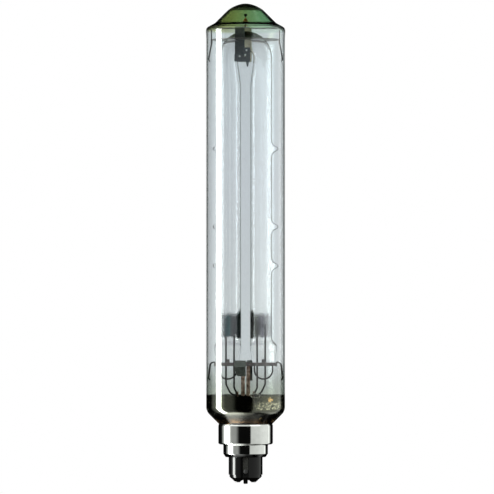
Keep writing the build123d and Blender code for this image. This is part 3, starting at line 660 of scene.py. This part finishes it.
def round_corners(shape, corners, fillets):
    """Round the corners of an outline, each to its own radius."""
    for corner, (radius, segments) in zip(corners, fillets):
        if radius:
            ends = [edge.other_vert(corner).co - corner.co for edge in corner.link_edges]
            turn = math.pi - ends[0].angle(ends[1])
            bmesh.ops.bevel(
                shape,
                geom=[corner],
                offset=radius * math.tan(turn / 2),
                offset_type="OFFSET",
                segments=segments,
                profile=0.5,
                affect="VERTICES",
                material=-1,
                clamp_overlap=False,
            )


bulb_corners = [
    (0.0, bulb_high.z),
    (crown_corner, bulb_high.z),
    (dome_radius, dome_foot),
    (bulge_radius, shoulder_height),
    (bulb_radius, shoulder_height - shoulder_run),
    (bulb_radius, base_height),
    (neck_radius, neck_height),
    (neck_radius, bulb_low.z),
]
walls = [dome_wall, dome_wall, bulb_wall, bulb_wall, bulb_wall, bulb_wall, bulb_wall]
inner_corners = [(0.0, bulb_high.z - dome_wall)]
for number in range(1, len(bulb_corners) - 1):
    trio = bulb_corners[number - 1:number + 2]
    inner_corners.append(wall_corner(*trio, walls[number - 1], walls[number]))
inner_corners.append((neck_radius - bulb_wall, bulb_low.z))
outer_fillets = [
    (0, 0),
    (crown_radius, 28),
    (0.8 * mm, 5),
    (3.0 * mm, 10),
    (20 * mm, 6),
    (6.4 * mm, 16),
    (1.5 * mm, 6),
    (0, 0),
]
inner_fillets = [
    (0, 0),
    (crown_radius - dome_wall, 28),
    (1.5 * mm, 5),
    (2.3 * mm, 10),
    (19.3 * mm, 6),
    (5.7 * mm, 14),
    (2.2 * mm, 6),
    (0, 0),
]
bulb_shape = bmesh.new()
chain = outline_of(bulb_shape, bulb_corners + inner_corners[::-1], closed=False)
round_corners(bulb_shape, chain, outer_fillets + inner_fillets[::-1])
spun(bulb_shape, bulb_segments)
bulb_glass, nodes, links, shader = clear_glass("coated bulb glass", 1.5)
axis = own_place(nodes, links)[1]
across, height = axis["X"], axis["Z"]
facing = edge_on(nodes)
body_stops = [
    (0.0, (0.84, 0.85, 0.80)),
    (0.094, (0.84, 0.85, 0.80)),
    (0.098, (0.57, 0.61, 0.565)),
    (0.125, (0.60, 0.635, 0.615)),
    (0.16, (0.69, 0.725, 0.725)),
    (0.175, (0.775, 0.81, 0.82)),
    (0.3, (0.775, 0.81, 0.825)),
    (0.6, (0.76, 0.795, 0.82)),
    (0.85, (0.745, 0.79, 0.81)),
    (0.945, (0.74, 0.79, 0.80)),
]
body = shade_ramp(nodes, links, height_share(nodes, links, bulb_low.z, bulb_high.z), body_stops)
# Painted light and shade: near its edges the wall goes lighter above, darker low down.
painted_edge_tint = blended(nodes, links, height, *edge_tint_heights, (0.46, 0.50, 0.47), (0.98, 0.99, 1.0))
body = blended(nodes, links, facing, 0.35, 0.75, body, painted_edge_tint)
# Painted shade: the wall goes dark grey where it is seen along its edge.
body = blended(nodes, links, facing, 0.78, 0.9, body, (0.28, 0.30, 0.31))
shoulder = blended(nodes, links, across, *shoulder_sides, (0.46, 0.50, 0.30), (0.62, 0.72, 0.66))
# Painted shade: the shoulder goes black where it is seen along its edge.
shoulder = blended(nodes, links, facing, 0.59, 0.76, shoulder, black)
body = blended(nodes, links, height, *shoulder_heights, body, shoulder)
# Painted shade: a black ring at the kink under the dome.
body = blended(nodes, links, height, *kink_foot_heights, body, black)
dome = blended(nodes, links, across, *dome_sides, (0.37, 0.44, 0.21), (0.37, 0.57, 0.40))
# Painted shade: the crown's top goes nearly black.
dome = blended(nodes, links, height, *crown_heights, dome, (0.06, 0.07, 0.045))
# Painted shade: the dome goes black where it is seen along its edge.
dome = blended(nodes, links, facing, 0.63, 0.76, dome, black)
body = blended(nodes, links, height, *kink_top_heights, body, dome)
links.new(body, shader.inputs["Base Color"])
piece_from(bulb_shape, "glass_bulb", bulb_glass, "bulb_glass", "outer_bulb")

# Getter mirror: metal flashed from the getter ring onto the inside of the bulb's cone and lower wall.
# A brown-black mirror with a wavy upper edge, worn to a speckle on the right. Painted reflections in its
# colour: bands by height, orange low on the cone and pale above it, and four small patches, two gold glints,
# a black one and a red-brown one.
# One place at its upper edge is thin enough to see the getter ring through.
mirror_low, mirror_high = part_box("getter_mirror")
mirror_thickness = 0.1 * mm
mirror_gap = -0.15 * mm
bore_radius = bulb_radius - bulb_wall - mirror_gap
cone_corner = wall_corner(*bulb_corners[4:7], bulb_wall + mirror_gap, bulb_wall + mirror_gap)
cone_drop = cone_corner.y - mirror_low.z
cone_foot = (cone_corner.x - cone_drop / math.tan(base_slope), mirror_low.z)
mirror_segments = 128
mirror_fillets = [(5.85 * mm, 16), (5.75 * mm, 16)]
wave_scale = 120
wave_height = 2.4 * mm
edge_heights = (mirror_high.z + 1.2 * mm, mirror_high.z + 0.2 * mm)
thin_place = (7.2 * mm, -24.0 * mm, 56.0 * mm)
thin_reach = (3.0 * mm, 5.5 * mm)
thin_cover = 0.35
speckle_scale = 1300
band_heights = (38.4 * mm, 50.0 * mm)
worn_sides = (3 * mm, 10 * mm)
worn_heights = (47.0 * mm, 48.6 * mm)
grit_heights = (54.0 * mm, 51.5 * mm)
spot_ragged = 5 * mm
# Painted reflections: two gold glints, a black patch and a red-brown patch, each by centre, reach and
# colour.
reflection_spots = (
    ((15.8 * mm, -19.2 * mm, 54.4 * mm), (4.3 * mm, 3.4 * mm), (1.0, 0.70, 0.32)),
    ((6.6 * mm, -21.6 * mm, 45.4 * mm), (4.6 * mm, 3.6 * mm), (0.012, 0.012, 0.008)),
    ((9.3 * mm, -18.2 * mm, 42.6 * mm), (3.6 * mm, 2.9 * mm), (0.95, 0.72, 0.36)),
    ((8.9 * mm, -15.9 * mm, 39.6 * mm), (3.6 * mm, 2.9 * mm), (0.42, 0.16, 0.08)),
)
# Mirror tone by height, with painted reflections: an orange band low on the cone and a pale band above it.
tone_and_reflection_bands = [
    (0.0, (0.03, 0.02, 0.01)),
    (0.10, (0.10, 0.06, 0.03)),
    (0.16, (0.34, 0.20, 0.10)),
    (0.24, (0.16, 0.10, 0.05)),
    (0.40, (0.05, 0.05, 0.04)),
    (0.54, (0.09, 0.09, 0.075)),
    (0.60, (0.24, 0.24, 0.21)),
    (0.70, (0.22, 0.22, 0.19)),
    (0.76, (0.075, 0.08, 0.055)),
]


def distance_from(nodes, links, place, point):
    """Socket with the distance of a place from a point."""
    gap = nodes.new("ShaderNodeVectorMath")
    gap.operation = "DISTANCE"
    gap.inputs[1].default_value = point
    links.new(place, gap.inputs[0])
    return gap.outputs["Value"]


mirror_corners = [
    (bore_radius, mirror_high.z),
    cone_corner,
    cone_foot,
    (cone_foot[0] - mirror_thickness, cone_foot[1]),
    (cone_corner.x - mirror_thickness, cone_corner.y),
    (bore_radius - mirror_thickness, mirror_high.z),
]
mirror_shape = bmesh.new()
chain = outline_of(mirror_shape, mirror_corners, closed=True)
round_corners(mirror_shape, [chain[1], chain[4]], mirror_fillets)
spun(mirror_shape, mirror_segments)
mirror_film, nodes, links, shader = fresh_material("flashed getter mirror")
shader.inputs["Metallic"].default_value = 1.0
shader.inputs["Roughness"].default_value = 0.12
place, axis = own_place(nodes, links)
across, height = axis["X"], axis["Z"]
waves = noise_over(nodes, links, place, wave_scale)
wavy = combined(nodes, links, "MULTIPLY_ADD", waves, wave_height, height)
cover = ranged(nodes, links, wavy, *edge_heights)
thin = ranged(nodes, links, distance_from(nodes, links, place, thin_place), *thin_reach, thin_cover)
links.new(combined(nodes, links, "MULTIPLY", cover, thin), shader.inputs["Alpha"])
speckle = noise_over(nodes, links, place, speckle_scale, 1.0)
flecks = spread(nodes, links, speckle, 0.50, 0.62)
grit = combined(nodes, links, "MULTIPLY", flecks, spread(nodes, links, height, *grit_heights))
worn = mixed(nodes, links, grit, (0.13, 0.135, 0.095), (0.95, 0.92, 0.70))
right_side = spread(nodes, links, across, *worn_sides)
patch = combined(nodes, links, "MULTIPLY", right_side, spread(nodes, links, height, *worn_heights))
bands = shade_ramp(nodes, links, height_share(nodes, links, *band_heights), tone_and_reflection_bands)
film = mixed(nodes, links, patch, bands, worn)
# Painted reflections: the patches go over to their colours.
for centre, fade, colour in reflection_spots:
    gap = distance_from(nodes, links, place, centre)
    ragged = combined(nodes, links, "MULTIPLY_ADD", speckle, spot_ragged, gap)
    film = blended(nodes, links, ragged, *fade, film, colour)
links.new(film, shader.inputs["Base Color"])
piece_from(mirror_shape, "flashed_mirror", mirror_film, "getter_mirror", "getter_mirror")

# Cap shell: drawn from bright sheet metal, with a wide skirt, a step, and a collar crimped at its foot.
# The crimped edge over the insulator is painted near-black, standing in for the dark it mirrors (painted
# reflection).
# Baked cement fills the ring between the skirt and the bulb's neck.
cement = metal("baked cement", (0.40, 0.36, 0.30), (0.62, 0.58, 0.50), 0.8, 1.0 * mm)
dress(cement, "capping_cement")
shell_low, shell_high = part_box("cap_shell")
skirt_radius = shell_high.x
shell_wall = 0.45 * mm
lip_inset = 0.28 * mm
lip_height = 1.0 * mm
collar_radius = 14.4 * mm
skirt_foot = shell_high.z - 13.0 * mm
collar_foot = shell_low.z + 2.2 * mm
crimp_radius = collar_radius - 1.45 * mm
shell_segments = 192
dark_edge_heights = (19.5 * mm, 19.2 * mm)
cap_metal = metal(
    "bright drawn cap metal", (0.70, 0.71, 0.69), (0.80, 0.81, 0.79), 0.06, 4.0 * mm, bump=0.01
)
# Painted reflection: the crimped edge goes near-black.
stained(cap_metal, "Z", *dark_edge_heights, (0.05, 0.05, 0.05))
shell_corners = [
    (skirt_radius - shell_wall, shell_high.z),
    (skirt_radius - lip_inset, shell_high.z),
    (skirt_radius, shell_high.z - lip_height),
    (skirt_radius, skirt_foot),
    (collar_radius, skirt_foot),
    (collar_radius, collar_foot),
    (crimp_radius, shell_low.z),
    (crimp_radius - shell_wall, shell_low.z),
    (collar_radius - shell_wall, collar_foot),
    (collar_radius - shell_wall, skirt_foot + shell_wall),
    (skirt_radius - shell_wall, skirt_foot + shell_wall),
]
shell_fillets = [(0.15, 3), (0.5, 4), (1.2, 10), (0.8, 8), (0.6, 6), (0.2, 4)]
shell_shape = bmesh.new()
chain = outline_of(shell_shape, shell_corners, closed=True)
round_corners(shell_shape, chain[1:7], [(radius * mm, segments) for radius, segments in shell_fillets])
spun(shell_shape, shell_segments)
piece_from(shell_shape, "drawn_shell", cap_metal, "cap_metal", "cap_shell")

# Cap insulator, bayonet pins and contacts: a glossy black moulding that carries two dark plated pins.
# Soldered buttons close the bosses at its foot. A rough, gritty band runs up the middle above the pins.
jet = (0.002, 0.002, 0.002)
band_sides = (1.7 * mm, 1.9 * mm)
band_rise = (7.6 * mm, 8.6 * mm)
grain_scale = 1600
rough_gloss = 0.45
smooth_gloss = 0.04
moulding, nodes, links, shader = fresh_material("glossy black moulding")
shader.inputs["Specular IOR Level"].default_value = 0.27
place, axis = own_place(nodes, links)
aside = combined(nodes, links, "ABSOLUTE", axis["X"])
grain = noise_over(nodes, links, place, grain_scale)
gritty = mixed(nodes, links, grain, black, (0.11, 0.11, 0.10))
band = blended(nodes, links, axis["Z"], *band_rise, jet, gritty)
links.new(blended(nodes, links, aside, *band_sides, band, jet), shader.inputs["Base Color"])
links.new(ranged(nodes, links, aside, *band_sides, rough_gloss, smooth_gloss), shader.inputs["Roughness"])
dress(moulding, "cap_insulator")
pin_metal = metal("dark plated pin", (0.05, 0.05, 0.05), (0.14, 0.14, 0.14), 0.75, 0.6 * mm)
dress(pin_metal, "front_bayonet_pin", "back_bayonet_pin")
solder = metal("dull solder", (0.38, 0.38, 0.38), (0.58, 0.58, 0.57), 0.4, 0.5 * mm)
dress(solder, "left_contact", "right_contact")

# Floor: a plain white sweep that glows evenly, so the lamp stands on clean white.
# In reflections it is a small dark spot under the cap, painted shade for the shade under the lamp, and open
# further out.
floor_radius = 1.0
floor_middle = (0, 0, 0)
floor_drop = 0.2 * mm
shade_spot = (17 * mm, 24 * mm)


def seen_straight(nodes, links):
    """Socket that is 1 for what is seen directly or straight through glass, and 0 for what is mirrored."""
    path = nodes.new("ShaderNodeLightPath").outputs
    mirrored = combined(nodes, links, "ADD", path["Glossy Depth"], path["Diffuse Depth"])
    unmirrored = combined(nodes, links, "LESS_THAN", mirrored, 0.5)
    through = combined(nodes, links, "MULTIPLY", path["Is Transmission Ray"], unmirrored)
    return combined(nodes, links, "MAXIMUM", path["Is Camera Ray"], through)


def mixed_shader(nodes, links, share, first, second):
    """Shader socket that goes from the first shader to the second as the share goes from 0 to 1."""
    blend = nodes.new("ShaderNodeMixShader")
    links.new(share, blend.inputs["Fac"])
    links.new(first, blend.inputs[1])
    links.new(second, blend.inputs[2])
    return blend.outputs["Shader"]


floor_shape = bmesh.new()
bmesh.ops.create_circle(floor_shape, cap_ends=True, segments=96, radius=floor_radius)
floor_mesh = bpy.data.meshes.new("floor")
floor_shape.to_mesh(floor_mesh)
floor_shape.free()
floor = bpy.data.objects.new("floor", floor_mesh)
floor.location.z = cad_box[0][2] - floor_drop
bpy.context.collection.objects.link(floor)
floor_white, nodes, links, shader = fresh_material("white floor")
# Painted shade: what reflections see of the floor near the cap is nearly black.
shader.inputs["Base Color"].default_value = (0.03, 0.023, 0.018, 1.0)
shader.inputs["Roughness"].default_value = 0.9
glow = nodes.new("ShaderNodeEmission").outputs["Emission"]
open_floor = nodes.new("ShaderNodeBsdfTransparent").outputs["BSDF"]
from_middle = distance_from(nodes, links, own_place(nodes, links)[0], floor_middle)
outside_spot = spread(nodes, links, from_middle, *shade_spot)
mirrored_floor = mixed_shader(nodes, links, outside_spot, shader.outputs["BSDF"], open_floor)
whole_floor = mixed_shader(nodes, links, seen_straight(nodes, links), mirrored_floor, glow)
links.new(whole_floor, nodes["Material Output"].inputs["Surface"])
floor_mesh.materials.append(floor_white)

# Studio light: soft boxes round a dark room, with an even white field behind the lamp.
# The number of glass surfaces a reflection has passed tells the bulb, the tube and the inner pieces apart.
# Some boxes light only one of them, as screens would do in a studio.
room_glow = 0.004
box_edge = 8
ground_bright = 2.2
ground_even = 0.4
world = bpy.data.worlds.new("studio")
bpy.context.scene.world = world
world.use_nodes = True
nodes, links = world.node_tree.nodes, world.node_tree.links
split = nodes.new("ShaderNodeSeparateXYZ")
links.new(nodes.new("ShaderNodeTexCoord").outputs["Generated"], split.inputs["Vector"])
aim = split.outputs


def studio(operation, first, second):
    """Socket of the studio's own nodes that joins two sockets, or a socket and a number."""
    return combined(nodes, links, operation, first, second)


right_of_camera = studio("ARCTAN2", aim["X"], studio("MULTIPLY", aim["Y"], -1.0))
right_of_back = studio("ARCTAN2", aim["X"], aim["Y"])


def soft_box(start, full, full_end, end, strength, low=-50, high=65, bearing=right_of_camera):
    """Light that rises between two bearings in degrees, stays full and falls off, between two heights."""
    light = strength
    for socket, dark, bright in (
        (bearing, math.radians(start), math.radians(full)),
        (bearing, math.radians(end), math.radians(full_end)),
        (aim["Z"], math.sin(math.radians(low - box_edge)), math.sin(math.radians(low + box_edge))),
        (aim["Z"], math.sin(math.radians(high + box_edge)), math.sin(math.radians(high - box_edge))),
    ):
        light = studio("MULTIPLY", spread(nodes, links, socket, dark, bright), light)
    return light


passed = nodes.new("ShaderNodeLightPath").outputs["Transmission Depth"]
in_bulb = studio("GREATER_THAN", passed, 0.5)
in_tube = studio("GREATER_THAN", passed, 2.5)
past_front = studio("GREATER_THAN", passed, 5.5)
past_films = studio("GREATER_THAN", passed, 6.5)
past_tube = studio("GREATER_THAN", passed, 8.5)
tube_front = studio("SUBTRACT", in_tube, past_front)
tube_back = studio("SUBTRACT", past_films, past_tube)
off_front = studio("SUBTRACT", 1.0, tube_front)
on_bulb = studio("SUBTRACT", 1.0, in_bulb)
narrow_back = studio("MULTIPLY", soft_box(-22, -14, 14, 22, 1.0, -30, 30, right_of_back), in_bulb)
wide_back = studio("MULTIPLY", soft_box(-60, -46, 46, 60, 0.45, -40, 40, right_of_back), in_tube)
# The bright paper under the lamp lies to the left of the cap and is cut off all round.
ground = studio("MULTIPLY", spread(nodes, links, aim["X"], 0.12, -0.30), ground_bright)
ground = studio("ADD", ground, ground_even)
for direction, dark, bright in (
    ("X", -0.68, -0.58),
    ("X", 0.48, 0.30),
    ("Y", -0.55, -0.40),
    ("Y", 0.36, 0.24),
    ("Z", -0.74, -0.80),
):
    ground = studio("MULTIPLY", spread(nodes, links, aim[direction], dark, bright), ground)
# First the strip light on the left, then its glints in the tube, the wide boxes and the inner lights.
room = room_glow
for light in (
    studio("MULTIPLY", soft_box(-98, -95, -79, -74, 9.0, high=16), off_front),
    studio("MULTIPLY", soft_box(-98, -95, -79, -74, 19.0, high=16), on_bulb),
    studio("MULTIPLY", soft_box(-94, -88, -76, -70, 7.5), tube_front),
    studio("MULTIPLY", soft_box(-98, -94, -84, -80, 16.0), tube_back),
    soft_box(-124, -99, -70, -62, 0.9),
    soft_box(-70, -62, -46, -26, 0.36),
    soft_box(19, 25, 112, 126, 0.72),
    soft_box(30, 108, 116, 126, 0.25),
    soft_box(112, 115, 124, 132, 0.6),
    soft_box(-80, -60, 60, 80, 0.9, 20, 56),
    studio("MULTIPLY", soft_box(-14, -8, 8, 14, 0.8, -30, 30), in_tube),
    studio("MULTIPLY", soft_box(-86, -74, -66, -10, 6.0), past_tube),
    studio("MAXIMUM", narrow_back, wide_back),
    ground,
):
    room = studio("ADD", light, room)
straight = seen_straight(nodes, links)
field = nodes.new("ShaderNodeMix")
field.data_type = "FLOAT"
field.inputs["B"].default_value = 1.0
links.new(straight, field.inputs["Factor"])
links.new(room, field.inputs["A"])
links.new(field.outputs["Result"], nodes["Background"].inputs["Strength"])
cast = mixed(nodes, links, straight, (0.97, 1.0, 0.96), (1.0, 1.0, 1.0))
links.new(cast, nodes["Background"].inputs["Color"])

# Camera: a long lens below the lamp's middle, so the lamp fills the frame as in the photograph.
# Light may pass many glass surfaces before it is given up.
frame_width = 319 * mm
camera_distance = 3.0
camera_side = 0.9 * mm
camera_height = 115 * mm
aim_height = 152.7 * mm
sensor_width = 36.0
glass_bounces = 32
mirror_bounces = 16
camera_data = bpy.data.cameras.new("camera")
camera_data.sensor_width = sensor_width
camera_data.lens = sensor_width * camera_distance / frame_width
camera = bpy.data.objects.new("camera", camera_data)
bpy.context.collection.objects.link(camera)
camera.location = (camera_side, -camera_distance, camera_height)
aim_point = Vector((camera_side, 0, aim_height))
camera.rotation_euler = (aim_point - camera.location).to_track_quat("-Z", "Y").to_euler()
bpy.context.scene.camera = camera
bpy.context.scene.view_settings.view_transform = "Standard"
light_paths = bpy.context.scene.cycles
light_paths.max_bounces = glass_bounces
light_paths.transmission_bounces = glass_bounces
light_paths.glossy_bounces = mirror_bounces
light_paths.transparent_max_bounces = glass_bounces
